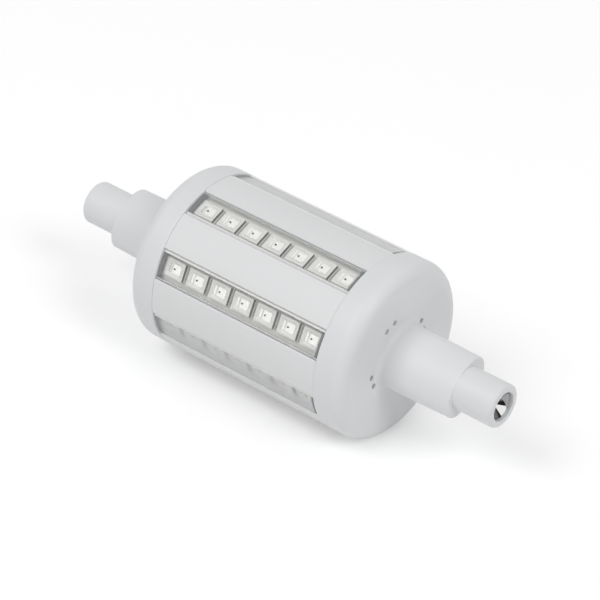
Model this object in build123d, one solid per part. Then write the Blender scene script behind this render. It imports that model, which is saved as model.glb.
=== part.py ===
from build123d import *
import os
from math import cos, radians, sin, sqrt

# Double ended linear lamp. All sizes are in millimetres.
# The lamp axis lies along X, +Z is up, and the origin is half way between the two contacts.
# Light rows are numbered around the axis: row 1 is the one nearest the top.

# Overall form
overall_length = 78.0
body_length = 40.7       # over the highest rings of the two cap faces
cap_radius = 14.1
row_count = 8
row_turn = 22.5          # how far row 1 leans from straight up, towards -Y, in degrees

# End caps
cap_wall = 0.85
cap_depth = 4.95         # from the highest ring of the face back to the seam with the cage
rim_round = 2.2
rim_bands = 4            # conical bands that make up the rounded rim
face_dish = 0.55         # how deep the flat of each cap face lies below its rim
face_slope_width = 0.8   # width of the slope from that flat up to the rim
face_thickness = 1.3

# Oval neck and round nose of each cap
neck_wide = 9.9          # long way across the oval, at the shoulder
neck_flat_margin = 0.05  # how far the oval's flat sides stand out past the nose
neck_wide_draft = 0.2    # how much the oval's half widths grow towards the cap
neck_thin_draft = 0.05
neck_base_flare = 1.0    # how far the neck flares where it meets the face
nose_length = 6.7
nose_radius = 3.4
nose_rim_bevel = 0.3
recess_radius = 2.3
recess_depth = 3.4

# Pairs of vent holes round each neck
vent_pairs = 4
vent_radius = 0.45
vent_sides = 8
vent_set_off = 1.0       # from the foot of the oval's long side to the circle of vents
vent_half_angle = 8.8

# Metal contact in each nose
contact_set_back = 0.5   # from the nose rim to the front of the metal
contact_clearance = 0.08
cup_mouth_radius = 2.0
cup_depth = 1.5

# White cage of bars between the caps
cage_step = 0.04         # how far the cage lies below the surface of the caps
cage_wall = 1.5
bar_edge_bevel = 0.2
seam_gap = 0.08
spigot_length = 2.0
spigot_clearance = 0.08

# Clear strip in each window
window_width = 4.85
window_ledge = 0.25
window_set_down = 0.15   # from the cage surface to the strip surface
strip_thickness = 0.6
strip_clearance = 0.08

# Light boards and the light packages on them
board_width = 6.0
board_thickness = 0.8
board_corner_clearance = 0.13
board_overrun = 0.1      # how far the boards reach past the ring boards
lights_per_row = 7
light_row_margin = 0.2   # from each end of a window to the first light's share of it
light_length = 3.5
light_width = 2.8
light_height = 0.8
light_cup_margin = 0.35
light_cup_depth = 0.4
light_cup_slant = 0.28   # how far the cup's walls lean in on their way down

# Eight sided carrier inside the boards, and the ring boards on its ends
carrier_wall = 1.5
carrier_overrun = 0.7    # how far the carrier reaches past the seams
end_board_gap = 0.1
end_board_thickness = 1.0

# Insulated wire from each contact, laid straight on to the driver board
wire_radius = 0.6
wire_bore_clearance = 0.1
wire_landing = 3.5       # how much of it lies over the driver board
rest_clearance = 0.05    # a round part lies this far above the board

# Driver board and the parts soldered to it, in line from one wire's end to the other
driver_thickness = 1.2
driver_groove = 0.35
driver_clearance = 0.08
part_gap = 0.6
capacitor_radius = 4.0
capacitor_length = 12.0
choke_radius = 2.6
choke_height = 5.5
choke_side = 3.3
film_size = (7.0, 3.4, 5.5)
film_side = -3.6
rectifier_size = (4.9, 3.9, 2.4)
rectifier_side = -3.2
chip_size = (4.9, 3.9, 1.5)
chip_side = 2.8
fuse_size = (4.0, 2.0, 3.0)
fuse_side = 6.3
block_bevel = 0.3

# Worked out from the sizes above: the caps
nose_tip = overall_length / 2
shoulder_offset = nose_tip - nose_length
recess_floor = nose_tip - recess_depth
wire_bore = wire_radius + wire_bore_clearance
cap_rim = body_length / 2
cap_face = cap_rim - face_dish
cap_floor = cap_face - face_thickness
seam_offset = cap_rim - cap_depth
skirt_bore = cap_radius - cap_wall
neck_half_wide = neck_wide / 2 + neck_wide_draft
neck_half_thin = nose_radius + neck_flat_margin + neck_thin_draft
vent_circle_radius = neck_half_wide + vent_set_off

# The cage, its windows and the boards under them
row_step = 360.0 / row_count
ear_angle = row_step / 2 - 90.0
cage_radius = cap_radius - cage_step
cage_bore = cage_radius - cage_wall
cage_end = seam_offset - seam_gap
spigot_outer = skirt_bore - spigot_clearance
strip_outer = cage_radius - window_set_down
strip_inner = strip_outer - strip_thickness
ledge_radius = strip_inner - rest_clearance
board_face = sqrt((cage_bore - board_corner_clearance) ** 2 - (board_width / 2) ** 2)
light_pitch = 2 * (cage_end - light_row_margin) / lights_per_row

# The carrier, the ring boards and the driver
carrier_flat = board_face - board_thickness
carrier_bore = carrier_flat - carrier_wall
carrier_end = seam_offset + carrier_overrun
end_board_start = carrier_end + end_board_gap
end_board_end = end_board_start + end_board_thickness
board_end = end_board_end + board_overrun
driver_top = -wire_radius - rest_clearance
driver_half_width = carrier_bore + driver_groove - driver_clearance
wire_end = end_board_end - wire_landing
capacitor_start = part_gap - wire_end
film_start = capacitor_start + capacitor_length + part_gap
chip_start = film_start + film_size[0] + part_gap
beyond = 2.0             # how far a cutting tool runs past what it cuts


def place(shape, angle=0.0):
    """Turn a shape made with row 1 straight up to its place around the lamp axis."""
    return Rot(row_turn + angle, 0, 0) * shape


def turned(*points):
    """Revolve a closed outline of (along the axis, radius) points about the lamp axis."""
    return revolve(make_face(Polyline(*points, close=True)), Axis.X)


def ring(outer, inner, start, end):
    """A plain ring round the lamp axis."""
    return turned((start, inner), (start, outer), (end, outer), (end, inner))


def rod(radius, start, end):
    """A plain cylinder along the lamp axis."""
    return turned((start, 0), (start, radius), (end, radius), (end, 0))


def slab(x_size, y_size, z_low, z_high, x=0.0, y=0.0):
    """A box centred on x and y, between two heights."""
    return Pos(x, y, (z_low + z_high) / 2) * Box(x_size, y_size, z_high - z_low)


def tube(outer_flat, inner_flat, start, end):
    """A tube along the lamp with one flat side for each row, outside and inside."""
    turn = 90 - row_step / 2
    section = RegularPolygon(outer_flat, row_count, major_radius=False, rotation=turn)
    section -= RegularPolygon(inner_flat, row_count, major_radius=False, rotation=turn)
    return Pos(start, 0, 0) * extrude(Plane.YZ * section, amount=end - start)


def driver_slot(start, end):
    """The room that the driver board needs where it lies in the carrier or a ring board."""
    return slab(end - start, 2 * (carrier_bore + driver_groove),
                driver_top - driver_thickness - driver_clearance, driver_top + driver_clearance,
                x=(start + end) / 2)


def rounding(along, out, radius, start, end, bands):
    """Points round an arc about (along, out), between two angles measured from the lamp axis."""
    angles = [radians(start + (end - start) * step / bands) for step in range(bands + 1)]
    return [(along + radius * cos(angle), out + radius * sin(angle)) for angle in angles]


def oval(at, half_wide, half_thin):
    """The neck's oval section, square to the axis, with its long way along the ears."""
    ear = (0, -sin(radians(ear_angle)), cos(radians(ear_angle)))
    return Plane(origin=(at, 0, 0), x_dir=ear, z_dir=(1, 0, 0)) * Ellipse(half_wide, half_thin)


def cap_cup():
    """The cap's cup before it is cored: side, rounded rim and sunken face."""
    rim = rounding(cap_rim - rim_round, cap_radius - rim_round, rim_round, 90, 0, rim_bands)
    return turned((seam_offset, 0), (seam_offset, cap_radius), *rim,
                  (cap_face, cap_radius - rim_round - face_slope_width), (cap_face, 0))


def cap_neck():
    """Oval neck that flares where it meets the face and tapers a little to its shoulder."""
    flare = neck_base_flare / 2
    sections = [
        oval(cap_face - flare, neck_half_wide + 2 * flare, neck_half_thin + 2 * flare),
        oval(cap_face + flare, neck_half_wide, neck_half_thin),
        oval(shoulder_offset, neck_wide / 2, nose_radius + neck_flat_margin)]
    return loft(sections, ruled=True)


def cap_nose():
    """Round nose with a bevelled rim."""
    start = shoulder_offset - beyond
    return turned((start, 0), (start, nose_radius), (nose_tip - nose_rim_bevel, nose_radius),
                  (nose_tip, nose_radius - nose_rim_bevel), (nose_tip, 0))


def end_cap():
    """The moulded cap: thin walled cup, vented face, hollow neck and contact recess."""
    core = turned(
        (seam_offset - beyond, 0), (seam_offset - beyond, skirt_bore),
        (cap_floor, skirt_bore), (cap_floor, wire_bore),
        (recess_floor, wire_bore), (recess_floor, recess_radius),
        (nose_tip + beyond, recess_radius), (nose_tip + beyond, 0))
    cap = cap_cup() + cap_neck() + cap_nose() - core
    hole = extrude(Plane.YZ * RegularPolygon(vent_radius, vent_sides), amount=face_thickness + beyond)
    hole = Pos(cap_floor - beyond / 2, 0, vent_circle_radius) * hole
    for pair in range(vent_pairs):
        for side in (-1, 1):
            cap -= Rot(pair * 360.0 / vent_pairs + side * vent_half_angle, 0, 0) * hole
    return cap


def contact():
    """Turned contact seated on the recess floor, with a polished hollow in front."""
    front = nose_tip - contact_set_back
    button = rod(recess_radius - contact_clearance, recess_floor, front)
    return button - turned((front, 0), (front, cup_mouth_radius), (front - cup_depth, 0))


def lead_wire():
    """Straight wire from the back of the contact, down the neck and over the driver board."""
    return rod(wire_radius, wire_end, recess_floor)


def window_cage():
    """One moulding: eight bars joined by the spigot rings that plug into the caps."""
    body = ring(cage_radius, cage_bore, -cage_end, cage_end)
    spigot_end = seam_offset + spigot_length
    body += ring(spigot_outer, cage_bore, -spigot_end, spigot_end)
    lip = ring(cage_radius + beyond, ledge_radius, -cage_end - beyond, cage_end + beyond)
    upper = slab(2 * cage_end, window_width, 0, cage_radius + beyond) & lip
    narrow = window_width - 2 * window_ledge
    lower = slab(2 * cage_end, narrow, cage_bore - 2 * cage_wall, cage_radius + beyond)
    for row in range(row_count):
        body -= Rot(row * row_step, 0, 0) * upper
        body -= Rot(row * row_step, 0, 0) * lower
    long_edges = body.edges().filter_by(Axis.X)
    rims = [edge for edge in long_edges
            if abs(edge.center().Y ** 2 + edge.center().Z ** 2 - cage_radius ** 2) < 0.1]
    return chamfer(rims, bar_edge_bevel)


def window_strip():
    """Clear strip that lies on the ledges of one window, curved like the cage."""
    length = 2 * (cage_end - strip_clearance)
    skin = ring(strip_outer, strip_inner, -length / 2, length / 2)
    return skin & slab(length, window_width - 2 * strip_clearance, 0, cage_radius)


def light_board():
    """Metal cored board under one row, long enough to lie over the ring boards too."""
    return slab(2 * board_end, board_width, carrier_flat, board_face)


def light_package():
    """White package with a tapered cup in its top, standing on the board face."""
    top = board_face + light_height
    block = slab(light_length, light_width, board_face, top)
    mouth_length, mouth_width = light_length - 2 * light_cup_margin, light_width - 2 * light_cup_margin
    cup = Wedge(mouth_length, light_cup_depth, mouth_width, light_cup_slant, light_cup_slant,
                mouth_length - light_cup_slant, mouth_width - light_cup_slant)
    return block - Pos(0, 0, top - light_cup_depth / 2) * Rot(-90, 0, 0) * cup


def light_row():
    """The packages of one board, in line along the lamp."""
    one = light_package()
    first = -(lights_per_row - 1) / 2 * light_pitch
    return [Pos(first + number * light_pitch, 0, 0) * one for number in range(lights_per_row)]


def board_carrier():
    """Eight sided tube whose flats back the light boards; grooves inside hold the driver board."""
    carrier = tube(carrier_flat, carrier_bore, -carrier_end, carrier_end)
    return carrier - driver_slot(-carrier_end, carrier_end)


def end_board():
    """Ring board under the ends of the light boards, which links the rows to the driver board."""
    board = tube(carrier_flat, carrier_bore, end_board_start, end_board_end)
    return board - driver_slot(end_board_start, end_board_end)


def driver_board():
    """Board of the driver, held in the carrier's grooves and soldered into the ring boards."""
    return slab(2 * end_board_end, 2 * driver_half_width, driver_top - driver_thickness, driver_top)


def smoothing_capacitor():
    """Round can lying along the lamp."""
    can = rod(capacitor_radius, capacitor_start, capacitor_start + capacitor_length)
    return Pos(0, 0, driver_top + rest_clearance + capacitor_radius) * can


def choke():
    """Sleeved drum choke standing on the board."""
    drum = Cylinder(choke_radius, choke_height, align=(Align.CENTER, Align.CENTER, Align.MIN))
    return Pos(film_start + choke_radius, choke_side, driver_top) * drum


def block_part(size, start, side):
    """A moulded block standing on the driver board, with its upright edges bevelled."""
    block = slab(size[0], size[1], driver_top, driver_top + size[2], x=start + size[0] / 2, y=side)
    return chamfer(block.edges().filter_by(Axis.Z), block_bevel)


def write(name, shape):
    """Write one sub-part to its own file."""
    if isinstance(shape, list):
        shape = Compound(children=shape)
    export_step(shape, os.path.join("parts", name + ".step"))


os.makedirs("parts", exist_ok=True)

sided = {"end_cap": end_cap(), "contact": contact(), "end_board": end_board(),
         "lead_wire": lead_wire()}
for name, shape in sided.items():
    write(name + "_right", place(shape))
    write(name + "_left", place(shape.mirror(Plane.YZ)))

write("window_cage", place(window_cage()))
strip, board, lights = window_strip(), light_board(), light_row()
for row in range(row_count):
    number = str(row + 1)
    write("window_strip_" + number, place(strip, row * row_step))
    write("light_board_" + number, place(board, row * row_step))
    write("light_row_" + number, [place(light, row * row_step) for light in lights])

write("board_carrier", place(board_carrier()))
write("driver_board", place(driver_board()))
write("smoothing_capacitor", place(smoothing_capacitor()))
write("choke", place(choke()))
write("film_capacitor", place(block_part(film_size, film_start, film_side)))
write("bridge_rectifier", place(block_part(rectifier_size, chip_start, rectifier_side)))
write("driver_chip", place(block_part(chip_size, chip_start, chip_side)))
write("fuse_resistor", place(block_part(fuse_size, chip_start, fuse_side)))
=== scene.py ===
# %% [markdown]
# # A double ended lamp, dressed for its portrait
# The lamp is 78 mm long: two moulded end caps, a cage of white bars between them,
# and behind each gap in the cage a clear strip, a narrow board and seven small light packages.
# The engineering model is loaded first and stays fixed. Everything made here is fitted to it.

# %% Load the engineering model
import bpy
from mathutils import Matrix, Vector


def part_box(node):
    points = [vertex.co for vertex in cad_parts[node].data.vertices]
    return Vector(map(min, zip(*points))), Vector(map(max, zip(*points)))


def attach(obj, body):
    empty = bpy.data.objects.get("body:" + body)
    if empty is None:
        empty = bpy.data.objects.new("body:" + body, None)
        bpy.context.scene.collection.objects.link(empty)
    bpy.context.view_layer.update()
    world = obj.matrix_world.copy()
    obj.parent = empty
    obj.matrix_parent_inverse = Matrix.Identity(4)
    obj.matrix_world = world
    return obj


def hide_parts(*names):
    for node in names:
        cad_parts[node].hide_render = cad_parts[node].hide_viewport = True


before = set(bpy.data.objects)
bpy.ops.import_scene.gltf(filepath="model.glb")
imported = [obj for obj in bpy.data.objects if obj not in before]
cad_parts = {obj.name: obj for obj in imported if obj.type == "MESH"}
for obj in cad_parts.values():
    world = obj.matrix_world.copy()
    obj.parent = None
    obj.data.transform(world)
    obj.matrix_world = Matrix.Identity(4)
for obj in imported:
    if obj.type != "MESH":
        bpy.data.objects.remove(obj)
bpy.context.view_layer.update()        # bodies, nodes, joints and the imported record
print("nodes in the model:", len(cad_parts))

# %% [markdown]
# The scene is measured in metres, and this lamp is easier to think about in millimetres.
# One constant turns the one into the other, and the main sizes are read from the model
# where it can give them, so that the pieces made here meet the ones that are kept.

# %% Units and main sizes
import math
import bpy
import numpy as np
from mathutils import Matrix, Vector

mm = 0.001
cap_low, cap_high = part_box("end_cap_right")
seam = cap_low.x / mm                 # from the middle of the lamp to the open end of a cap
nose_tip = cap_high.x / mm
cap_radius = (cap_high.z - cap_low.z) / 2 / mm
row_count = 8
lights_per_row = 7
row_step = 2 * math.pi / row_count
first_row = math.radians(112.5)       # row 1, as an angle about +X counted from +Y towards +Z
print(f"seam at {seam:.2f} mm, nose tip at {nose_tip:.2f} mm, cap radius {cap_radius:.2f} mm")

# %% [markdown]
# ## Surfaces from arrays
# Every new piece is a set of rings: closed loops of points, one after another along a path.
# Neighbouring rings are joined by quads. If the last ring joins the first, the piece is a closed
# ring itself, like a tyre. Otherwise one polygon closes each end. Whole rings are worked out
# at once as arrays, because a loop over single points would be slow and harder to read.

# %% Rings joined by faces
def joined_rings(rings, closed=False):
    """Points and faces of a run of rings. Point j of ring i has the number i times n plus j,
    and each quad joins points j and j + 1 of one ring to the same two of the next."""
    count, n = rings.shape[:2]
    i = np.arange(count if closed else count - 1)[:, None]
    j = np.arange(n)[None, :]
    here, after = i * n, (i + 1) % count * n
    quads = np.stack([here + j, here + (j + 1) % n, after + (j + 1) % n, after + j], -1)
    faces = quads.reshape(-1, 4).tolist()
    if not closed:
        faces += [list(range(n))[::-1], list(range((count - 1) * n, count * n))]
    return rings.reshape(-1, 3), faces


# %% [markdown]
# Faces have an inside and an outside, and which is which follows from the order of their corners.
# That is hard to keep in mind for pieces on both ends of the lamp and in eight directions. So each
# closed shell is measured instead: if its volume comes out negative, it is inside out.

# %% Faces that point outward
def facing_out(points, faces):
    """Turn all the faces of a closed shell if its volume comes out negative. The volume is the
    sum over its triangles of corner a dot (corner b cross corner c), divided by six."""
    total = 0.0
    for size in {len(face) for face in faces}:
        same = np.array([face for face in faces if len(face) == size])
        for k in range(1, size - 1):
            a, b, c = points[same[:, 0]], points[same[:, k]], points[same[:, k + 1]]
            total += np.einsum("ij,ij->i", a, np.cross(b, c)).sum()
    return faces if total > 0 else [face[::-1] for face in faces]


# %% [markdown]
# A piece of the lamp may have several shells, such as a package with its pads and its chip. They go
# into one mesh, and each face carries the number of its material. Edges that turn sharply
# are shaded crisp and all the others smooth.

# %% One object from closed shells
crisp_angle = math.radians(35.0)


def make_piece(name, shells, materials):
    """One object from several closed shells, each given as (points, faces, material number).
    The faces of a later shell count on from the points of the ones before it."""
    all_points, all_faces, numbers, start = [], [], [], 0
    for points, faces, number in shells:
        faces = facing_out(points, faces)
        all_points.append(points)
        all_faces += [[corner + start for corner in face] for face in faces]
        numbers += [number] * len(faces)
        start += len(points)
    mesh = bpy.data.meshes.new(name)
    mesh.from_pydata(np.concatenate(all_points).tolist(), [], all_faces)
    for item in materials:
        mesh.materials.append(item)
    mesh.polygons.foreach_set("material_index", numbers)
    mesh.shade_smooth()
    mesh.set_sharp_from_angle(angle=crisp_angle)
    piece = bpy.data.objects.new(name, mesh)
    bpy.context.scene.collection.objects.link(piece)
    return piece


# %% [markdown]
# ## The camera
# A long lens from far away keeps the lamp's two ends nearly the same size, as in the photograph.
# The camera looks from the front right and a third of a right angle above. Its place is worked out
# from an aim point, a direction and a distance, so each of them can be changed by itself.

# %% Camera
camera_azimuth = math.radians(36.67)      # from the -Y side, turning towards +X
camera_elevation = math.radians(33.23)
camera_roll = math.radians(4.58)
camera_distance = 490.8 * mm
camera_aim = Vector((0.869, 0.729, 0.100)) * mm
lens_length = 198.55                      # in mm, as is the width of the sensor
sensor_width = 36.0

toward_camera = Vector((math.sin(camera_azimuth) * math.cos(camera_elevation),
                        -math.cos(camera_azimuth) * math.cos(camera_elevation),
                        math.sin(camera_elevation)))
level_right = Vector((0, 0, 1)).cross(toward_camera).normalized()
level_up = toward_camera.cross(level_right)
right = level_right * math.cos(camera_roll) + level_up * math.sin(camera_roll)
up = toward_camera.cross(right)

camera_data = bpy.data.cameras.new("camera")
camera_data.lens = lens_length
camera_data.sensor_width = sensor_width
camera = bpy.data.objects.new("camera", camera_data)
camera.matrix_world = Matrix.Translation(camera_aim + toward_camera * camera_distance) @ Matrix(
    (right, up, toward_camera)).transposed().to_4x4()
bpy.context.scene.collection.objects.link(camera)
bpy.context.scene.camera = camera
bpy.context.scene.view_settings.view_transform = "Standard"
print("camera at", [round(value, 3) for value in camera.location])

# %% [markdown]
# ## Helpers for nodes
# The world, the floor and every finish are built from nodes. Made one by one they would fill
# pages, so a few helpers make the common ones. The first two start a material and set the values
# on a node.

# %% A new material
def new_material(name):
    """A material with only its Principled shader and its output in it: the material, its node
    tree and the shader."""
    made = bpy.data.materials.new(name)
    made.use_nodes = True
    return made, made.node_tree, made.node_tree.nodes["Principled BSDF"]


def set_inputs(node, **values):
    """Set a node's sockets by name. A word gap in a socket's name is written as an underscore."""
    for name, value in values.items():
        node.inputs[name.replace("_", " ")].default_value = value


# %% [markdown]
# The other helpers make one node each, in the node tree they are given. They give back its output,
# so a formula can be written as one helper inside another.

# %% Small nodes
def math_node(tree, operation, *values):
    """A Math node. Each of its inputs is another node's output or a plain number."""
    node = tree.nodes.new("ShaderNodeMath")
    node.operation = operation
    for place, value in enumerate(values):
        if isinstance(value, float):
            node.inputs[place].default_value = value
        else:
            tree.links.new(value, node.inputs[place])
    return node.outputs[0]


def map_range(tree, value, interpolation="LINEAR", **limits):
    """A Map Range node, which carries one range of values over to another."""
    node = tree.nodes.new("ShaderNodeMapRange")
    node.interpolation_type = interpolation
    set_inputs(node, **limits)
    tree.links.new(value, node.inputs["Value"])
    return node.outputs["Result"]


def length_of(tree, vector):
    """The length of a vector: the root of the sum of its squares."""
    node = tree.nodes.new("ShaderNodeVectorMath")
    node.operation = "LENGTH"
    tree.links.new(vector, node.inputs[0])
    return node.outputs["Value"]


# %% [markdown]
# ## Floor and light
# The photograph is high key: a white table, light from all sides, and one broad soft light
# above and in front of the lamp. A white world gives the light from all sides, and large area lamps
# the rest. If the world lit the lamp as brightly as it looks, the plastic would wash out. So
# the camera, mirrors and glass see the full white, and all other rays get a smaller share. Towards
# the top the world is a tenth darker, as a ceiling is.

# %% World
world_light = 0.42                 # the share of its white that the world lights things with
ceiling_share = 0.90


def seen_share(tree):
    """1 for rays from the camera, for mirror rays and for rays through glass, and 0 for the rays
    that light things: the largest of Light Path's three outputs."""
    path = tree.nodes.new("ShaderNodeLightPath").outputs
    first = math_node(tree, "MAXIMUM", path["Is Camera Ray"], path["Is Glossy Ray"])
    return math_node(tree, "MAXIMUM", first, path["Is Transmission Ray"])


world = bpy.data.worlds.new("studio")
bpy.context.scene.world = world
world.use_nodes = True
tree = world.node_tree
strength = map_range(tree, seen_share(tree), To_Min=world_light, To_Max=1.0)
heading = tree.nodes.new("ShaderNodeTexCoord")
parts = tree.nodes.new("ShaderNodeSeparateXYZ")
tree.links.new(heading.outputs["Generated"], parts.inputs[0])
ceiling = map_range(tree, parts.outputs["Z"], From_Min=0.35, From_Max=0.85,
                    To_Min=1.0, To_Max=ceiling_share)
background = tree.nodes["Background"]
background.inputs["Color"].default_value = (1.0, 1.0, 1.0, 1.0)
tree.links.new(math_node(tree, "MULTIPLY", strength, ceiling), background.inputs["Strength"])
print("the world lights with", world_light, "of its white, and its ceiling has", ceiling_share)

# %% [markdown]
# The table is one large square just under the lamp. It isn't part of the object.

# %% Floor
floor_size = 6.0
floor_height = -cap_radius * mm
corner = floor_size / 2
floor_mesh = bpy.data.meshes.new("floor")
floor_mesh.from_pydata([(-corner, -corner, floor_height), (corner, -corner, floor_height),
                        (corner, corner, floor_height), (-corner, corner, floor_height)],
                       [], [(0, 1, 2, 3)])
floor = bpy.data.objects.new("floor", floor_mesh)
bpy.context.scene.collection.objects.link(floor)
print("floor at", round(floor_height / mm, 2), "mm")

# %% [markdown]
# The floor shows the camera a little extra white of its own, so the lamps needn't
# be so strong that the white plastic clips, and it still keeps the lamp's soft shadow. Further out,
# where the area lamps no longer reach, the floor shows more of that white.

# %% Floor finish
near_white, far_white = 0.30, 0.65        # how much extra white
near_reach, far_reach = 0.15, 0.80        # and at which distances from the lamp, in metres

floor_material, tree, shader = new_material("white_table")
set_inputs(shader, Base_Color=(0.90, 0.90, 0.90, 1), Roughness=0.9, Specular_IOR_Level=0.0,
           Emission_Color=(1, 1, 1, 1))
place = tree.nodes.new("ShaderNodeTexCoord")
extra_white = map_range(tree, length_of(tree, place.outputs["Object"]),
                        From_Min=near_reach, From_Max=far_reach, To_Min=near_white, To_Max=far_white)
shown_white = math_node(tree, "MULTIPLY", seen_share(tree), extra_white)
tree.links.new(shown_white, shader.inputs["Emission Strength"])
floor_mesh.materials.append(floor_material)
print("extra white of the floor:", near_white, "near the lamp and", far_white, "far out")

# %% [markdown]
# Three square area lamps shape the light. The key light stands in front and above, the side light
# brightens the cap that is near the camera, and the top light, large and weak, lifts the bars that
# face up. A large lamp near by gives soft shadows.

# %% Area lamps
def area_lamp(name, direction, distance, size, watts):
    """A square lamp that faces the middle of the object from a distance along a direction."""
    data = bpy.data.lights.new(name, "AREA")
    data.shape = "SQUARE"
    data.size = size
    data.energy = watts
    lamp = bpy.data.objects.new(name, data)
    axis = Vector(direction).normalized()
    facing = axis.to_track_quat("Z", "Y").to_matrix().to_4x4()
    lamp.matrix_world = Matrix.Translation(axis * distance) @ facing
    bpy.context.scene.collection.objects.link(lamp)
    print(f"{name}: {size} m wide, {distance} m away, {watts} W")


area_lamp("key_light", (-0.22, -0.70, 0.86), 1.2, 0.55, 4.1)
area_lamp("side_light", (0.80, -0.16, 0.80), 1.2, 0.4, 2.8)
area_lamp("top_light", (0.10, 0.35, 1.00), 1.2, 0.9, 1.2)

# %% [markdown]
# ## Finishes
# Moulded white plastic looks plain, but it isn't one flat colour: it has a very fine grain from
# the mould, and its tone drifts by a percent or two. Two small node groups hold these effects,
# and each material sets its own amounts. Both start from a noise texture on Object coordinates.

# %% Groups and their noise
def group_with(name, inputs, outputs):
    """An empty node group with the named sockets, given as name: (socket kind, start value)."""
    group = bpy.data.node_groups.new(name, "ShaderNodeTree")
    for title, (kind, value) in inputs.items():
        socket = group.interface.new_socket(title, in_out="INPUT", socket_type=kind)
        socket.default_value = value
    for title, kind in outputs.items():
        group.interface.new_socket(title, in_out="OUTPUT", socket_type=kind)
    return group, group.nodes.new("NodeGroupInput"), group.nodes.new("NodeGroupOutput")


def object_noise(tree, scale, detail):
    """A noise texture on Object coordinates whose Scale comes from another socket."""
    place = tree.nodes.new("ShaderNodeTexCoord")
    noise = tree.nodes.new("ShaderNodeTexNoise")
    noise.inputs["Detail"].default_value = detail
    tree.links.new(place.outputs["Object"], noise.inputs["Vector"])
    tree.links.new(scale, noise.inputs["Scale"])
    return noise.outputs["Fac"]


# %% [markdown]
# The tone drifts in slow clouds. The noise runs about one half, so a half is taken off, and the
# colour is scaled by one plus the amount times what is left.

# %% Tone drift
drift_group, source, result = group_with(
    "tone_drift",
    {"Color": ("NodeSocketColor", (0.8, 0.8, 0.8, 1)), "Scale": ("NodeSocketFloat", 80.0),
     "Amount": ("NodeSocketFloat", 0.05)},
    {"Color": "NodeSocketColor"})
cloud = object_noise(drift_group, source.outputs["Scale"], 3.0)
centred = math_node(drift_group, "SUBTRACT", cloud, 0.5)
spread = math_node(drift_group, "MULTIPLY_ADD", centred, source.outputs["Amount"], 1.0)
tint = drift_group.nodes.new("ShaderNodeVectorMath")
tint.operation = "SCALE"
drift_group.links.new(source.outputs["Color"], tint.inputs[0])
drift_group.links.new(spread, tint.inputs["Scale"])
drift_group.links.new(tint.outputs[0], result.inputs["Color"])
print("group", drift_group.name, "with", len(drift_group.nodes), "nodes")

# %% [markdown]
# The grain is a much finer noise. It leaves the group twice: as a height for the bump, and brought
# between a low and a high value for the roughness.

# %% Fine grain
grain_group, source, result = group_with(
    "fine_grain",
    {"Scale": ("NodeSocketFloat", 4000.0), "Low": ("NodeSocketFloat", 0.0),
     "High": ("NodeSocketFloat", 1.0)},
    {"Height": "NodeSocketFloat", "Range": "NodeSocketFloat"})
speck = object_noise(grain_group, source.outputs["Scale"], 2.0)
span = grain_group.nodes.new("ShaderNodeMapRange")
grain_group.links.new(speck, span.inputs["Value"])
grain_group.links.new(source.outputs["Low"], span.inputs["To Min"])
grain_group.links.new(source.outputs["High"], span.inputs["To Max"])
grain_group.links.new(speck, result.inputs["Height"])
grain_group.links.new(span.outputs["Result"], result.inputs["Range"])
print("group", grain_group.name, "with", len(grain_group.nodes), "nodes")

# %% [markdown]
# One function makes every solid finish from the two groups. What sets the finishes apart is their
# colour, how rough they are and how coarse the drift and the grain are.

# %% Finish with drift and grain
def finish(name, colour, roughness=(0.4, 0.5), drift=0.04, drift_scale=90.0, grain_scale=5000.0,
           bump=0.05, bump_depth=0.02, **shader_values):
    """A material from the two groups: colour with drift, roughness that wanders between two values,
    and a bump from the grain, whose depth is in millimetres."""
    made, tree, shader = new_material(name)
    tone = tree.nodes.new("ShaderNodeGroup")
    tone.node_tree = drift_group
    set_inputs(tone, Color=(*colour, 1.0), Scale=drift_scale, Amount=drift)
    tree.links.new(tone.outputs["Color"], shader.inputs["Base Color"])
    grain = tree.nodes.new("ShaderNodeGroup")
    grain.node_tree = grain_group
    set_inputs(grain, Scale=grain_scale, Low=roughness[0], High=roughness[1])
    tree.links.new(grain.outputs["Range"], shader.inputs["Roughness"])
    relief = tree.nodes.new("ShaderNodeBump")
    set_inputs(relief, Strength=bump, Distance=bump_depth * mm)
    tree.links.new(grain.outputs["Height"], relief.inputs["Height"])
    tree.links.new(relief.outputs["Normal"], shader.inputs["Normal"])
    set_inputs(shader, **shader_values)
    return made


# %% [markdown]
# The caps and the cage are the same white plastic, moulded in two tones that differ by a hair. The
# packages are whiter and a little warmer, and their small metal pads shine.

# %% Finishes of the new pieces
cap_white = finish("moulded_cap_white", (0.80, 0.813, 0.825), roughness=(0.38, 0.48), drift=0.03, bump=0.12)
bar_white = finish("moulded_bar_white", (0.82, 0.827, 0.832), roughness=(0.42, 0.52), drift=0.03, bump=0.10)
package_white = finish("package_white", (0.84, 0.84, 0.825), roughness=(0.3, 0.45), drift=0.06,
                       drift_scale=600.0, grain_scale=9000.0)
board_mask = finish("board_lacquer", (0.84, 0.84, 0.82), roughness=(0.3, 0.42), drift=0.10,
                    drift_scale=700.0, grain_scale=6000.0)
# the terminals' dark grey is painted shade along the ends of the packages
terminal_painted_shade = finish("package_terminal_painted_shade", (0.14, 0.14, 0.135), roughness=(0.35, 0.55), drift=0.5,
                       drift_scale=1500.0, grain_scale=6000.0)
solder_pale = finish("pale_solder", (0.66, 0.66, 0.64), roughness=(0.3, 0.5), drift=0.2,
                     drift_scale=1800.0, grain_scale=6000.0)
# the contacts' plating: its colour is replaced further on by painted reflections in wedges
plated_and_reflections = finish("nickel_plate_painted_reflections", (0.78, 0.78, 0.77), roughness=(0.05, 0.12), drift=0.05, grain_scale=3000.0,
                bump=0.03, Metallic=1.0)
pad_metal = finish("lead_frame_silver", (0.97, 0.97, 0.955), roughness=(0.2, 0.3), drift=0.03,
                   drift_scale=1500.0, grain_scale=9000.0, Metallic=0.8)
die_dark = finish("light_chip", (0.035, 0.03, 0.03), roughness=(0.2, 0.3), drift=0.1, drift_scale=3000.0)
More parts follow.
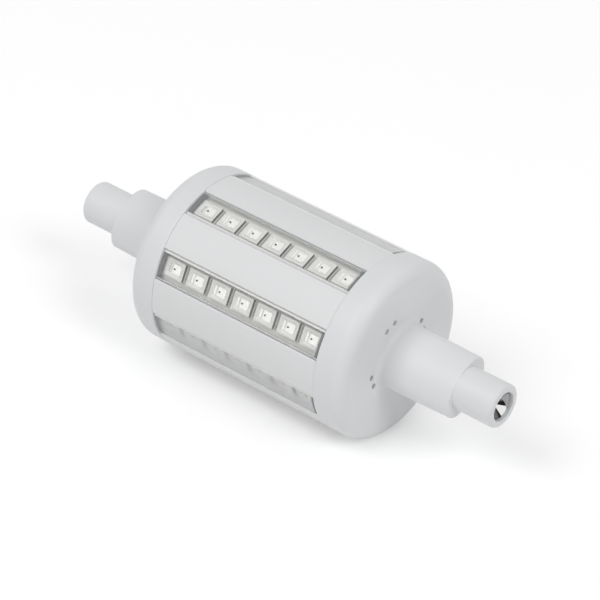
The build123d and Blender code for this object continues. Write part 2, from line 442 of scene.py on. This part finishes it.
print("finishes:", len(bpy.data.materials))

# %% [markdown]
# ## The end caps
# Each cap is one moulding: a cup that slips over the cage, a dished face, an oval neck and a
# round nose with a hole for the contact. A revolve can't give the oval neck, so the profile is worked out
# anew for each direction round the axis. Where the neck is round or the cup is round, all the
# directions agree, and where it is oval they drift apart smoothly.

# %% Sizes of a cap
cap_wall = 0.85
rim_round = 2.2
rim_offset = 20.65                 # where the face and the side would meet, were they not rounded
face_dish = 1.04
face_thickness = 1.3
neck_half_wide = 4.95
neck_half_thin = 3.45
neck_wide_draft = 0.2
neck_thin_draft = 0.05
neck_base_round = 1.0
shoulder = 32.3
shoulder_round = 0.3
nose_radius = 3.4
nose_round = 0.45
recess_radius = 2.3
recess_floor = 35.6
wire_bore = 0.7                    # for the insulated wire, from the cup to the recess
edge_round = 0.05
ear_angle = math.radians(45.0)     # the long way across the oval neck
print(f"neck {2 * neck_half_wide} by {2 * neck_half_thin} mm, nose {2 * nose_radius} mm across")

# %% [markdown]
# Two formulas shape the cap. The face is a shallow bowl, a parabola turned about the axis, and its
# slope is needed where a rounding runs into it. The neck's section is an ellipse, of which the
# distance from the axis is wanted in each direction.

# %% Bowl and oval
def face_offset(r):
    """How far along the axis the dished face lies at radius r: a shallow bowl, deepest at r = 0."""
    return rim_offset - face_dish * (1 - (r / cap_radius) ** 2)


def face_slope(r):
    """The slope of that bowl in degrees, the arc tangent of its derivative."""
    return np.degrees(np.arctan(2 * face_dish * r / cap_radius ** 2))


def oval_radius(angle, half_wide, half_thin):
    """The polar radius of an ellipse: a b over the root of (b cos) squared plus (a sin) squared."""
    turn = angle - ear_angle
    return half_wide * half_thin / np.hypot(half_thin * np.cos(turn), half_wide * np.sin(turn))


# %% [markdown]
# A profile is drawn like a line with a pen, from point to point and round arcs. The pen draws it
# for all the directions at once: each row it adds has one column for each direction.

# %% A pen for profiles
class ProfilePen:
    """Rows of x, the place along the axis, and r, the distance from it."""

    def __init__(self, angle):
        self.one = np.ones_like(angle)
        self.x, self.r = [], []

    def point(self, x, r):
        """Add a row of points. A number counts for all directions."""
        self.x.append(np.atleast_2d(x) * self.one)
        self.r.append(np.atleast_2d(r) * self.one)

    def line(self, x0, r0, x1, r1, steps):
        """Add points between two ends, but not the ends: first end plus a share of the way."""
        t = np.linspace(0, 1, steps + 2)[1:-1, None]
        self.point(x0 + (x1 - x0) * t, r0 + (r1 - r0) * t)

    def arc(self, cx, cr, radius, start, stop, steps):
        """Add part of a circle: the centre plus the radius times cosine along the axis and sine
        away from it, between two angles in degrees."""
        turn = np.radians(np.linspace(start * self.one, stop * self.one, steps))
        self.point(cx + radius * np.cos(turn), cr + radius * np.sin(turn))


# %% [markdown]
# The outside comes first: the side of the cup, the rounded rim, the bowl of the face and the fillet
# at the foot of the neck. Each arc ends where its slope is that of the line that follows, so
# no crease shows.

# %% Cup and face
def draw_cup(pen, mouth):
    """The side of the cup and its rim. Gives back the radius at which the dished face starts."""
    pen.arc(mouth + edge_round, cap_radius - edge_round, edge_round, 180, 90, 5)
    slope = face_slope(cap_radius - rim_round)
    face_edge = cap_radius - rim_round - rim_round * math.sin(math.radians(slope))
    rim_centre = face_offset(face_edge) - rim_round * math.cos(math.radians(slope))
    pen.line(mouth + edge_round, cap_radius, rim_centre, cap_radius, 4)
    pen.arc(rim_centre, cap_radius - rim_round, rim_round, 90, -slope, 20)
    return face_edge


def draw_face(pen, base, face_edge):
    """The dished face, down to the fillet round the foot of the neck, whose oval is the base.
    Gives back where along the axis the fillet ends."""
    foot_centre = base + neck_base_round
    foot_slope = face_slope(foot_centre)
    foot_r = foot_centre + neck_base_round * np.sin(np.radians(foot_slope))
    t = np.linspace(0, 1, 18)[1:-1, None]
    face_r = face_edge + (foot_r - face_edge) * t
    pen.point(face_offset(face_r), face_r)
    foot_x = face_offset(foot_r) + neck_base_round * np.cos(np.radians(foot_slope))
    pen.arc(foot_x, foot_centre, neck_base_round, 180 - foot_slope, 270, 10)
    return foot_x


# %% [markdown]
# The neck is a little wider at its foot, so that the moulding comes out of its tool. Its shoulder is
# rounded less where the oval hardly stands out past the round nose. The recess in the nose holds
# the contact, and a narrow bore leads the wire from there into the cup.

# %% Neck, nose and inside
def draw_neck(pen, angle, base, foot_x):
    """From the foot up to the shoulder, round its edge and in to the nose."""
    top = oval_radius(angle, neck_half_wide, neck_half_thin)
    rounding = np.minimum(shoulder_round, top - nose_radius)
    pen.line(foot_x, base, shoulder - rounding, top, 10)
    pen.arc(shoulder - rounding, top - rounding, rounding, 90, 0, 6)
    pen.line(shoulder, top - rounding, shoulder, nose_radius, 2)


def draw_nose(pen):
    """Along the nose, round its rim and down the recess for the contact."""
    pen.point(shoulder, nose_radius)
    pen.line(shoulder, nose_radius, nose_tip - nose_round, nose_radius, 8)
    pen.arc(nose_tip - nose_round, nose_radius - nose_round, nose_round, 90, 0, 8)
    pen.arc(nose_tip - edge_round, recess_radius + edge_round, edge_round, 0, -90, 4)
    pen.line(nose_tip - edge_round, recess_radius, recess_floor, recess_radius, 4)
    pen.point(recess_floor, recess_radius)


def draw_inside(pen, mouth):
    """The wire bore and the inside of the cup, back to the open end."""
    cup_floor = face_offset(0.0) - face_thickness
    for x, r in ((recess_floor, wire_bore), (cup_floor, wire_bore),
                 (cup_floor, cap_radius - cap_wall), (mouth, cap_radius - cap_wall)):
        pen.point(x, r)


# %% [markdown]
# Rings about the axis come from the profile by cosine and sine. The open end of each cap comes a
# little nearer to the cage than in the engineering model, because in the photograph the dark
# line between the two is very thin.

# %% Rings of a cap
steps_round = 256
seam_closing = {"right": 0.055, "left": 0.03}    # how much nearer to the cage the cap's open end comes


def around(x, r, angle, sign=1):
    """Rings about the lamp's axis: (x, r cos a, r sin a) for each row of x and r."""
    return np.stack([sign * x + 0 * angle, r * np.cos(angle), r * np.sin(angle)], -1) * mm


def cap_rings(side, sign):
    """The whole profile of a cap in every direction. The loop ends where it began."""
    angle = np.linspace(0, 2 * math.pi, steps_round, endpoint=False)
    mouth = seam - seam_closing[side]
    base = oval_radius(angle, neck_half_wide + neck_wide_draft, neck_half_thin + neck_thin_draft)
    pen = ProfilePen(angle)
    face_edge = draw_cup(pen, mouth)
    foot_x = draw_face(pen, base, face_edge)
    draw_neck(pen, angle, base, foot_x)
    draw_nose(pen)
    draw_inside(pen, mouth)
    return around(np.concatenate(pen.x), np.concatenate(pen.r), angle, sign)


# %% [markdown]
# Four pairs of small vent holes stand round the neck. A grid of rings has no place for holes, so they
# are drilled with eight small rods, which are closed cylinders.

# %% Rods for the vent holes
vent_circle = 6.15
vent_radius = 0.45
vent_half_angle = math.radians(8.8)
drill_inside = 0.8                 # how far a rod reaches into the cup
drill_outside = 1.0                # and how far out past the face
drill_start = face_offset(0.0) - face_thickness - drill_inside
drill_stop = rim_offset + drill_outside


def round_rod(centre, radius, start, stop, steps=24):
    """A closed cylinder along X about a centre given as (y, z)."""
    angle = np.linspace(0, 2 * math.pi, steps, endpoint=False)
    y, z = centre[0] + radius * np.cos(angle), centre[1] + radius * np.sin(angle)
    ring = np.stack([np.zeros(steps), y, z], -1)
    return joined_rings(np.stack([ring + (start, 0, 0), ring + (stop, 0, 0)]) * mm)


def vent_rods(sign):
    """Eight rods: a pair every quarter turn, in line with every second row of lights."""
    rods = []
    for pair in range(4):
        for half in (-1, 1):
            turn = first_row + pair * math.pi / 2 + half * vent_half_angle
            centre = (vent_circle * math.cos(turn), vent_circle * math.sin(turn))
            rods.append((*round_rod(centre, vent_radius, sign * drill_start, sign * drill_stop), 0))
    return rods


# %% [markdown]
# A Boolean modifier takes the rods out of the cap. A modifier only describes a change, so the mesh
# that it gives is read back and kept as the cap's own, and the rods are deleted.

# %% Drilling
def cut_away(piece, cutter):
    """Take the cutter's solid out of the piece with a Boolean modifier, and keep only the result."""
    step = piece.modifiers.new("cut", "BOOLEAN")
    step.operation = "DIFFERENCE"
    step.solver = "EXACT"
    step.object = cutter
    graph = bpy.context.evaluated_depsgraph_get()
    result = bpy.data.meshes.new_from_object(piece.evaluated_get(graph))
    piece.modifiers.clear()
    piece.data = result
    bpy.data.objects.remove(cutter)


# %% [markdown]
# Both caps are alike. The left one is made with its x turned round. That would leave its faces
# inside out, but every shell is measured and put right.

# %% End caps
for side, sign in (("right", 1), ("left", -1)):
    points, faces = joined_rings(cap_rings(side, sign), closed=True)
    piece = make_piece(f"moulded_cap_{side}", [(points, faces, 0)], [cap_white])
    cut_away(piece, make_piece(f"vent_drill_{side}", vent_rods(sign), [cap_white]))
    piece.data.set_sharp_from_angle(angle=crisp_angle)
    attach(piece, "root")
    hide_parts(f"end_cap_{side}")
    print(piece.name, "faces:", len(piece.data.polygons))

# %% [markdown]
# ## The contacts
# A turned, plated button with a polished hollow in front. In the photograph the hollow shows bright
# and dark wedges, which are reflections. A white studio gives a mirror nothing dark to show, so here
# the wedges are painted reflections in the plating's colour, laid out by an angle about a line just
# below the lamp's axis. The angle is brought from half a turn either way to the range 0 to 1, and a
# colour ramp gives each wedge its grey. The painted wedges end at a circle, and the plating outside
# it is one even grey.

# %% Painted reflections in wedges
# painted reflections: each wedge's grey stands for a bright or a dark reflection in the hollow
reflection_wedge_stops = ((0.0, 0.16), (0.235, 0.10), (0.250, 0.012), (0.285, 0.012), (0.297, 0.80), (0.436, 0.80),
               (0.448, 0.012), (0.520, 0.012), (0.550, 0.10), (0.75, 0.40), (1.0, 0.18))
reflection_wedge_drop = 0.35                  # how far below the axis the wedges' common point lies
reflection_circle_reach = 1.60                # radius of the circle in which the wedges show
reflection_circle_drop = 0.95                 # how far below the axis the middle of that circle lies
reflection_circle_blur = 0.05
rim_grey = 0.32


def reflection_wedge_ramp(tree, share):
    """A colour ramp of painted reflections, with a stop for each edge of a wedge, given as (share of the
    turn, grey).
    """
    ramp = tree.nodes.new("ShaderNodeValToRGB")
    for where, grey in reflection_wedge_stops[1:-1]:
        ramp.color_ramp.elements.new(where)
    for stop, (where, grey) in zip(ramp.color_ramp.elements, reflection_wedge_stops):
        stop.position = where
        stop.color = (grey, grey, grey, 1)
    tree.links.new(share, ramp.inputs["Fac"])
    return ramp.outputs["Color"]


tree = plated_and_reflections.node_tree
place = tree.nodes.new("ShaderNodeTexCoord")
parts = tree.nodes.new("ShaderNodeSeparateXYZ")
tree.links.new(place.outputs["Object"], parts.inputs[0])
above_point = math_node(tree, "ADD", parts.outputs["Z"], reflection_wedge_drop * mm)
turn = math_node(tree, "ARCTAN2", above_point, parts.outputs["Y"])
share = map_range(tree, turn, From_Min=-math.pi, From_Max=math.pi)
print("stops in the ramp of the wedges:", len(reflection_wedge_stops))

# %% [markdown]
# The circle is a mask: how far a point lies from the circle's middle, the root of y squared plus
# (z + drop) squared, brought to 0 inside the circle and 1 outside. A Mix node has a set of sockets
# for each kind of value, and the ones for colours are reached by their numbers.

# %% Even plating outside the circle
across = tree.nodes.new("ShaderNodeCombineXYZ")
tree.links.new(parts.outputs["Y"], across.inputs["Y"])
tree.links.new(math_node(tree, "ADD", parts.outputs["Z"], reflection_circle_drop * mm), across.inputs["Z"])
outside = map_range(tree, length_of(tree, across.outputs[0]), From_Min=(reflection_circle_reach - reflection_circle_blur) * mm,
                    From_Max=(reflection_circle_reach + reflection_circle_blur) * mm)
plating_and_reflections = tree.nodes.new("ShaderNodeMix")
plating_and_reflections.data_type = "RGBA"
factor, first, second, mixed = plating_and_reflections.inputs[0], plating_and_reflections.inputs[6], plating_and_reflections.inputs[7], plating_and_reflections.outputs[2]
tree.links.new(outside, factor)
tree.links.new(reflection_wedge_ramp(tree, share), first)
second.default_value = (rim_grey, rim_grey, rim_grey, 1)
tree.links.new(mixed, tree.nodes["Principled BSDF"].inputs["Base Color"])
print("the wedges show within", reflection_circle_reach, "mm")

# %% [markdown]
# The button is a revolved profile, so all its rings are round. The hollow is a cone. Its last
# ring is so small that the polygon that closes it doesn't show.

# %% Contacts
contact_set_back = 0.5
contact_head = 2.22
hollow_mouth = 2.0
hollow_depth = 1.5
lip_width = 0.06
edge_bevel = 0.08
hollow_end = 0.02


def contact_profile():
    """Rows of (x, r): the side of the button, its bevelled front edge, and a straight line from
    the lip of the hollow down to the axis."""
    front = nose_tip - contact_set_back
    profile = [(recess_floor, hollow_end), (recess_floor, contact_head),
               (front - edge_bevel, contact_head), (front, contact_head - edge_bevel),
               (front, hollow_mouth + lip_width), (front - lip_width, hollow_mouth)]
    for t in np.linspace(0, 1, 12)[1:]:
        depth = lip_width + (hollow_depth - lip_width) * t
        profile.append((front - depth, hollow_mouth * (1 - t) + hollow_end * t))
    return np.array(profile)


angle = np.linspace(0, 2 * math.pi, 96, endpoint=False)
profile = contact_profile()
for side, sign in (("right", 1), ("left", -1)):
    rings = around(profile[:, :1], profile[:, 1:], angle, sign)
    piece = make_piece(f"plated_contact_{side}", [(*joined_rings(rings), 0)], [plated_and_reflections])
    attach(piece, "root")
    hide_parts(f"contact_{side}")
    print(piece.name, "faces:", len(piece.data.polygons))

# %% [markdown]
# ## Clear strips
# One strip of clear plastic lies in each window, curved like the cage round it. Seen straight on it
# is as clear as glass. Seen at a slant it turns milky, because the light runs a longer way through it,
# so a white diffuse shader takes over as the surface turns edge on.

# %% Clear and milky plastic
def mix_shaders(tree, share, first, second):
    """A Mix Shader node: share 0 gives the first shader, and share 1 the second."""
    node = tree.nodes.new("ShaderNodeMixShader")
    tree.links.new(share, node.inputs[0])
    tree.links.new(first, node.inputs[1])
    tree.links.new(second, node.inputs[2])
    return node.outputs[0]


def plain_shader(tree, kind, colour):
    """A shader that has nothing set but its colour."""
    node = tree.nodes.new(kind)
    node.inputs["Color"].default_value = (*colour, 1.0)
    return node.outputs[0]


milky_most = 0.68                  # the largest share of the milky shader

strip_clear, tree, shader = new_material("clear_strip")
set_inputs(shader, Base_Color=(0.99, 0.99, 0.985, 1), Roughness=0.03, IOR=1.49, Transmission_Weight=1.0)
milky = plain_shader(tree, "ShaderNodeBsdfDiffuse", (0.66, 0.665, 0.68))
slant = tree.nodes.new("ShaderNodeLayerWeight")
slant.inputs["Blend"].default_value = 0.5
haze = map_range(tree, slant.outputs["Facing"], "SMOOTHSTEP", From_Min=0.30, From_Max=0.62, To_Min=0.0,
                 To_Max=milky_most)
hazed = mix_shaders(tree, haze, shader.outputs[0], milky)
print("at most", milky_most, "of the strip's look is milky")

# %% [markdown]
# Each end of a strip carries a grey band of painted shade, the shade under the cap's rim, and at the
# left end more of it shows. A band at each end starts a length inward from the seam and thins out
# over half of that length. The two bands are masks on the x of Object coordinates, joined by the
# larger of the two.

# %% Painted shade at the ends
# each band of painted shade is darkest at the seam and thins out towards the middle of the strip
end_shade_bands = ((-1, 1.45, 0.64), (1, 0.80, 0.95))    # side, length from the seam, how much covers
end_shade_fade = 0.5                    # the share of that length over which the glue thins out

place = tree.nodes.new("ShaderNodeTexCoord")
parts = tree.nodes.new("ShaderNodeSeparateXYZ")
tree.links.new(place.outputs["Object"], parts.inputs[0])
end_shade_masks = []
for side, length, cover in end_shade_bands:
    start = seam - length
    end_shade_masks.append(map_range(tree, parts.outputs["X"], "SMOOTHSTEP", From_Min=side * start * mm,
                                From_Max=side * (start + end_shade_fade * length) * mm,
                                To_Min=0.0, To_Max=cover))
    print("painted end shade from", round(side * start, 2), "mm to the end of a strip")
# the painted shade is a grey diffuse shader mixed over the strip's ends
painted_end_shade = plain_shader(tree, "ShaderNodeBsdfDiffuse", (0.25, 0.255, 0.26))
end_shaded = mix_shaders(tree, math_node(tree, "MAXIMUM", *end_shade_masks), hazed, painted_end_shade)

# %% [markdown]
# True glass would throw dark, grainy shadows on the boards behind it. So for shadows and for
# scattered light the strip simply lets light pass, with a trace of grey.

# %% Light passes through
passing = plain_shader(tree, "ShaderNodeBsdfTransparent", (0.975, 0.975, 0.97))
path = tree.nodes.new("ShaderNodeLightPath").outputs
lighting = math_node(tree, "MAXIMUM", path["Is Shadow Ray"], path["Is Diffuse Ray"])
tree.links.new(mix_shaders(tree, lighting, end_shaded, passing), tree.nodes["Material Output"].inputs["Surface"])
print("nodes in the strip's material:", len(tree.nodes))

# %% [markdown]
# The outline across a strip follows two circles about the lamp's axis. It is worked out as if the
# strip lay on top of the lamp.

# %% Outline across a strip
strip_sink = 0.19                  # how deep the strip lies below the cap's radius
strip_thickness = 0.6
strip_outer = cap_radius - strip_sink
strip_inner = strip_outer - strip_thickness
strip_half_width = 2.27
strip_chamfer = 0.26
arc_points = 25                    # along each of the two arcs of the outline


def strip_section(inset):
    """The outline across a strip, drawn inset from its true edge: out along the larger circle,
    z = root of (R squared - y squared), and back along the smaller one. The upper corners are
    cut off by a small chamfer, because there the outline starts a chamfer's width further in."""
    half = strip_half_width - inset
    across = np.linspace(-half + strip_chamfer, half - strip_chamfer, arc_points)
    outer = np.sqrt((strip_outer - inset) ** 2 - across ** 2)
    y = np.linspace(-half, half, arc_points)
    inner = np.sqrt((strip_inner + inset) ** 2 - y ** 2)
    side = np.sqrt((strip_outer - inset) ** 2 - half ** 2) - strip_chamfer
    corners = np.array([[-half, side]]), np.array([[half, side]])
    outside, inside = np.stack([across, outer], -1), np.stack([y, inner], -1)[::-1]
    return np.concatenate([corners[0], outside, corners[1], inside])


# %% [markdown]
# Rings of that outline along X make the strip. At both ends the outline shrinks a little, which
# rounds the end edges. The whole strip is then turned about X to its row.

# %% Rings of a strip
strip_end_gap = 0.16
strip_half_length = seam - strip_end_gap
strip_edge = 0.07


def strip_rings():
    """Four sections along X: one at each end, inset by the edge, and one an edge's width from it."""
    ends = [(-strip_half_length, strip_edge), (-strip_half_length + strip_edge, 0.0)]
    stations = ends + [(-x, inset) for x, inset in reversed(ends)]
    rings = []
    for x, inset in stations:
        section = strip_section(inset)
        rings.append(np.column_stack([np.full(len(section), x), section]))
    return np.stack(rings) * mm


def turned_rows(points, angle):
    """Points made with their row straight up, turned about X to the row's own angle: y cos minus
    z sin, and y sin plus z cos."""
    tilt = angle - math.pi / 2
    c, s = math.cos(tilt), math.sin(tilt)
    x, y, z = points[..., 0], points[..., 1], points[..., 2]
    return np.stack([x, y * c - z * s, y * s + z * c], -1)


# %% [markdown]
# The chamfers and the two long sides of each strip get a second, white material: a painted highlight
# that stands for the light the clear edges catch. Of the faces between two rings, four are these
# edges: the two sides and the two chamfers.

# %% Clear strips with painted highlights on their edges
# painted highlight: white on the edges, in place of the light that a clear edge reflects
edge_painted_highlight = finish("strip_edge_painted_highlight", (0.90, 0.90, 0.89), roughness=(0.25, 0.4), drift=0.05,
                      drift_scale=300.0, grain_scale=8000.0, bump=0.3)


def whiten_long_edges(mesh, around_count, spans):
    """Give the chamfers and the sides of a strip the second material. Face number i times n plus j
    lies between points j and j + 1 of the section, whose corners come before and after the arc."""
    edge_places = np.array((0, arc_points, arc_points + 1, around_count - 1))
    numbers = np.zeros(len(mesh.polygons), dtype=np.int32)
    for span in range(spans):
        numbers[span * around_count + edge_places] = 1
    mesh.polygons.foreach_set("material_index", numbers)


for row in range(row_count):
    rings = turned_rows(strip_rings(), first_row + row * row_step)
    points, faces = joined_rings(rings)
    strip = make_piece(f"clear_strip_{row + 1}", [(points, faces, 0)], [strip_clear, edge_painted_highlight])
    whiten_long_edges(strip.data, rings.shape[1], len(rings) - 1)
    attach(strip, "root")
    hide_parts(f"window_strip_{row + 1}")
print("clear strips:", row_count, "each", round(2 * strip_half_length, 2), "mm long")

# %% [markdown]
# ## Light packages
# A package is a small white block with a shallow cup in its top. On the floor of the cup lie two
# silvery pads, a narrow and a wide one, and on the wide one sits a dark chip. A terminal covers the
# middle of each end, and its dark grey is painted shade. Pale solder joins it to the board. All of
# these are stacks of rounded rectangles, with a height for each.

# %% Rounded rectangles
def rounded_rectangle(half_x, half_y, radius, height, steps=5):
    """A closed outline: four quarter circles about corners set in by the radius."""
    points = []
    for quarter, (sx, sy) in enumerate(((1, 1), (-1, 1), (-1, -1), (1, -1))):
        turn = np.radians(np.linspace(0, 90, steps) + 90 * quarter)
        cx, cy = sx * (half_x - radius), sy * (half_y - radius)
        points.append(np.stack([cx + radius * np.cos(turn), cy + radius * np.sin(turn)], -1))
    flat = np.concatenate(points)
    return np.column_stack([flat, np.full(len(flat), height)])


def plate(centre_x, half_x, half_y, radius, low, high):
    """A thin rounded plate between two heights, whose middle lies at centre_x."""
    rings = np.stack([rounded_rectangle(half_x, half_y, radius, height, 3) for height in (low, high)])
    return rings + (centre_x, 0, 0)


# %% [markdown]
# The block's outline goes from the foot up the side, over the rim and down into the cup. The sides of
# the cup slope, so that they throw the light forward.

# %% The white block
package_length, package_width, package_height = 3.5, 2.8, 0.8
block_corner, rim_corner = 0.12, 0.10
rim_bevel = 0.05
cup_margin = 0.38
lip_corner, mouth_corner, floor_corner = 0.35, 0.33, 0.25
mouth_bevel, mouth_drop = 0.03, 0.04
cup_slope = 0.28                   # how much narrower, on each side, the cup's floor is than its mouth
cup_deep = 0.2
cup_floor_height = package_height - cup_deep


def block_rings():
    """Six rounded rectangles: foot, top of the side, outer rim, inner rim, mouth and floor. Each is
    given as (half length, half width, corner, height)."""
    half_x, half_y = package_length / 2, package_width / 2
    mouth_x, mouth_y = half_x - cup_margin, half_y - cup_margin
    stack = [(half_x, half_y, block_corner, 0.0),
             (half_x, half_y, block_corner, package_height - rim_bevel),
             (half_x - rim_bevel, half_y - rim_bevel, rim_corner, package_height),
             (mouth_x + mouth_bevel, mouth_y + mouth_bevel, lip_corner, package_height),
             (mouth_x, mouth_y, mouth_corner, package_height - mouth_drop),
             (mouth_x - cup_slope, mouth_y - cup_slope, floor_corner, cup_floor_height)]
    return np.stack([rounded_rectangle(*sizes) for sizes in stack])


# %% [markdown]
# The pads, the chip, the terminals and the solder are thin plates. The pads and the chip sink a
# little into what they stand on, as the real ones are bedded in it, so no slit shows.

# %% Pads, chip, terminals and solder
pad_height, chip_height = 0.03, 0.08
plate_sink = 0.02
pad_top = cup_floor_height + pad_height
narrow_pad = (-0.85, 0.16, 0.66, 0.06)      # centre, half length, half width and corner
wide_pad = (0.33, 0.74, 0.68, 0.12)
light_chip = (-0.08, 0.12, 0.12, 0.02)
# each terminal is a plate high on a package's end, dark grey as painted shade beside the top
terminal_out, terminal_half = 0.01, 0.04    # its middle past the block's end, and half its thickness
terminal_margin, terminal_corner = 0.06, 0.03    # the margin is counted from the block's sides
terminal_low, terminal_high = 0.30, package_height - 0.06
solder_out, solder_half = 0.20, 0.16
solder_margin, solder_corner = 0.12, 0.04
solder_high = 0.36


def package_shells():
    """The block, its pads, its chip, and a terminal with its solder at each end. The board is at
    height zero, and each shell comes with the number of its material."""
    half_x, half_y = package_length / 2, package_width / 2
    shells = [(block_rings(), 0),
              (plate(*narrow_pad, cup_floor_height - plate_sink, pad_top), 1),
              (plate(*wide_pad, cup_floor_height - plate_sink, pad_top), 1),
              (plate(*light_chip, pad_top - plate_sink / 2, pad_top + chip_height), 2)]
    for side in (-1, 1):
        shaded_terminal = plate(side * (half_x + terminal_out), terminal_half, half_y - terminal_margin,
                         terminal_corner, terminal_low, terminal_high)
        solder = plate(side * (half_x + solder_out), solder_half, half_y - solder_margin,
                       solder_corner, 0.0, solder_high)
        shells += [(shaded_terminal, 3), (solder, 4)]
    return shells


# %% [markdown]
# Seven packages stand on each board with even gaps, and one object holds a whole row. Each is made
# lying on a board that faces up and is then turned to its row.

# %% Eight rows of packages
board_face = 12.06                 # from the lamp's axis to the printed face of a light board
light_pitch = 4.32
package_finishes = [package_white, pad_metal, die_dark, terminal_painted_shade, solder_pale]

for row in range(row_count):
    shells = []
    for place in range(lights_per_row):
        shift = (place - (lights_per_row - 1) / 2) * light_pitch
        for rings, number in package_shells():
            points = (rings + (shift, 0, board_face)) * mm
            shells.append((*joined_rings(turned_rows(points, first_row + row * row_step)), number))
    lights = make_piece(f"light_packages_{row + 1}", shells, package_finishes)
    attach(lights, "root")
    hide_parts(f"light_row_{row + 1}")
print("light packages:", row_count * lights_per_row)

# %% [markdown]
# ## Pieces kept from the engineering model
# The cage, the boards and the driver parts have their true shape already, so they keep it and
# only get a finish each. Most of them are hidden in the closed lamp, but a lamp cut open or
# taken apart would show them.

# %% Finishes of the kept pieces
kept = {
    "window_cage": bar_white,
    "light_board": board_mask,
    "board_carrier": finish("extruded_aluminium", (0.72, 0.73, 0.74), roughness=(0.3, 0.45), drift=0.05,
                            grain_scale=2500.0, Metallic=1.0),
    "end_board": finish("white_fibreglass", (0.70, 0.71, 0.68), roughness=(0.35, 0.5), drift=0.05),
    "driver_board": finish("white_fibreglass_driver", (0.70, 0.71, 0.68), roughness=(0.35, 0.5),
                           drift=0.05),
    "lead_wire": finish("wire_insulation_red", (0.55, 0.06, 0.05), roughness=(0.45, 0.6), drift=0.08),
    "smoothing_capacitor": finish("shrunk_sleeve", (0.03, 0.035, 0.05), roughness=(0.25, 0.35), drift=0.1),
    "choke": finish("ferrite_sleeve", (0.035, 0.035, 0.035), roughness=(0.4, 0.55), drift=0.1),
    "film_capacitor": finish("dipped_resin", (0.36, 0.07, 0.04), roughness=(0.15, 0.25), drift=0.1),
    "bridge_rectifier": finish("moulded_epoxy", (0.03, 0.03, 0.03), roughness=(0.5, 0.65), drift=0.1),
    "driver_chip": finish("moulded_epoxy_chip", (0.025, 0.025, 0.028), roughness=(0.45, 0.6), drift=0.1),
    "fuse_resistor": finish("resistor_lacquer", (0.14, 0.24, 0.22), roughness=(0.4, 0.55), drift=0.1),
}
dressed = 0
for node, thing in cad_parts.items():
    for start, dress in kept.items():
        if node.startswith(start):
            thing.data.materials.clear()
            thing.data.materials.append(dress)
            dressed += 1
print("kept pieces with a finish:", dressed)
